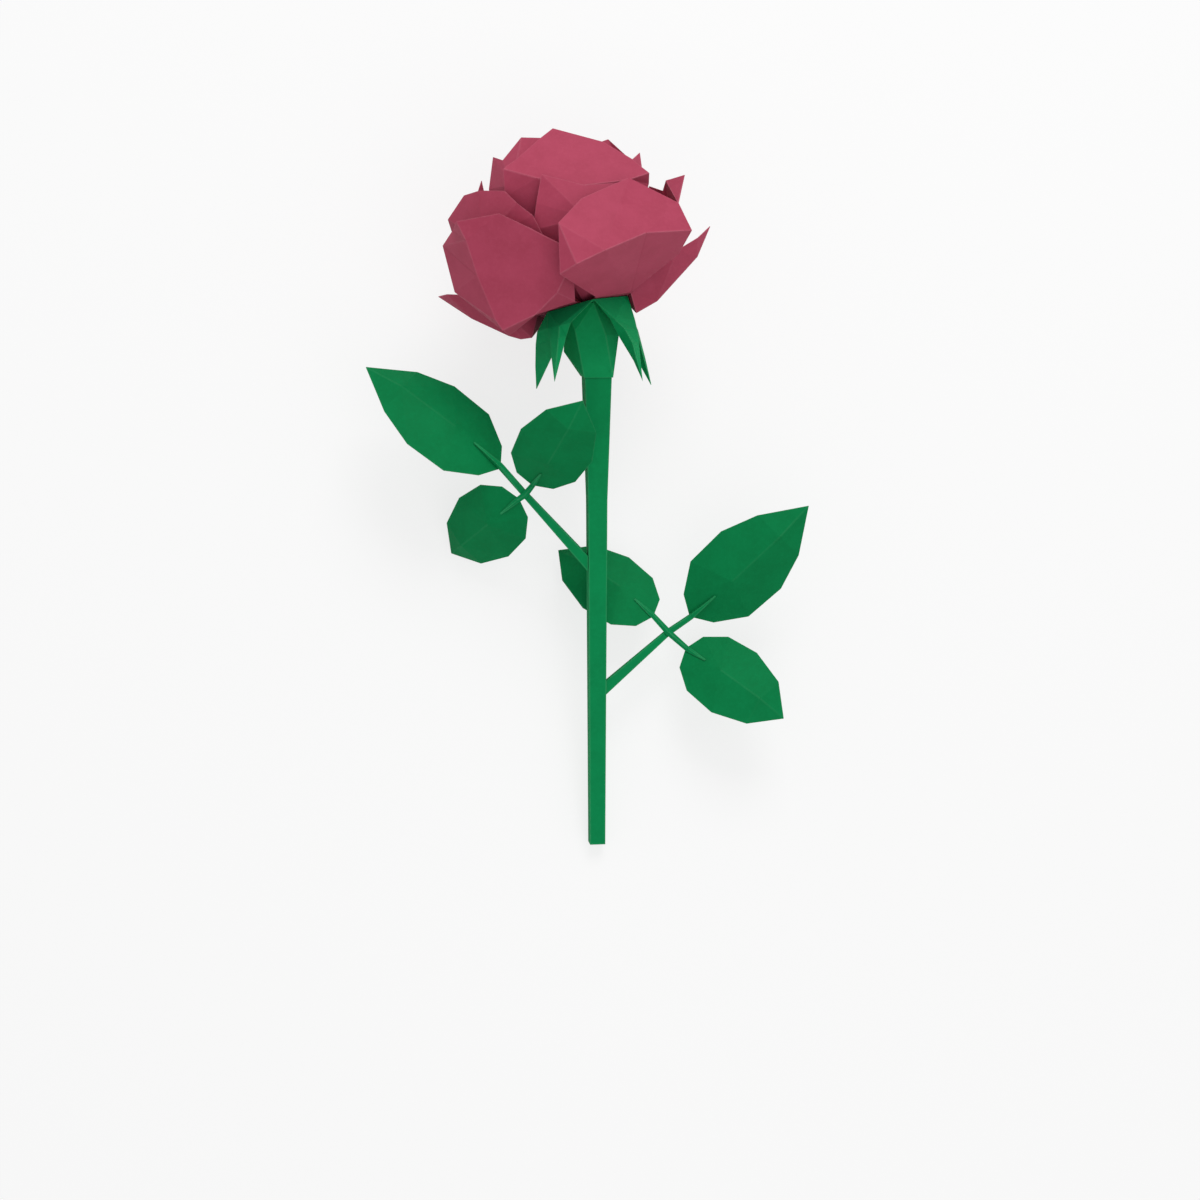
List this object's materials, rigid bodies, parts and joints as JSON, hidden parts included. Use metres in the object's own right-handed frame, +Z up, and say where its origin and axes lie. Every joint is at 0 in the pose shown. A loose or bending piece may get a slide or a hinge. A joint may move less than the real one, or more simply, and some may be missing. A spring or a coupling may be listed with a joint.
{
  "type": "paper flower",
  "caption": "Folded paper rose with a faceted head, a green calyx and hip, a square stem and two side branches of folded leaves, lying on its back.",
  "frame": {"origin": "centre of the footprint, on the surface the flower lies on", "axes": "+Y from the stem end towards the head, +X to the right seen from the open front of the flower with the head at the top, +Z up out of the surface it lies on"},
  "size_m": [0.2656, 0.421, 0.1634],
  "materials": {
    "crimson_card": "matt",
    "deep_crimson_card": "matt",
    "leaf_green_card": "matt",
    "stem_green_card": "matt"
  },
  "bodies": {
    "root": {"bud_core": "deep_crimson_card", "bud_petal_front": "deep_crimson_card", "bud_petal_left": "deep_crimson_card", "bud_petal_right": "deep_crimson_card", "calyx": "stem_green_card", "hip": "stem_green_card", "inner_petal_back": "crimson_card", "inner_petal_front": "crimson_card", "inner_petal_left": "crimson_card", "inner_petal_right": "crimson_card", "left_branch_rod": "stem_green_card", "left_end_leaf": "leaf_green_card", "left_leaf_stalk": "stem_green_card", "left_lower_side_leaf": "leaf_green_card", "left_upper_side_leaf": "leaf_green_card", "middle_petal_back": "crimson_card", "middle_petal_back_left": "crimson_card", "middle_petal_front": "crimson_card", "middle_petal_left": "crimson_card", "middle_petal_right": "crimson_card", "outer_petal_back": "crimson_card", "outer_petal_front_left": "crimson_card", "outer_petal_front_right": "crimson_card", "outer_petal_left": "crimson_card", "outer_petal_right": "crimson_card", "right_branch_rod": "stem_green_card", "right_end_leaf": "leaf_green_card", "right_inner_side_leaf": "leaf_green_card", "right_leaf_stalk": "stem_green_card", "right_outer_side_leaf": "leaf_green_card", "stem": "stem_green_card"}
  },
  "joints": []
}
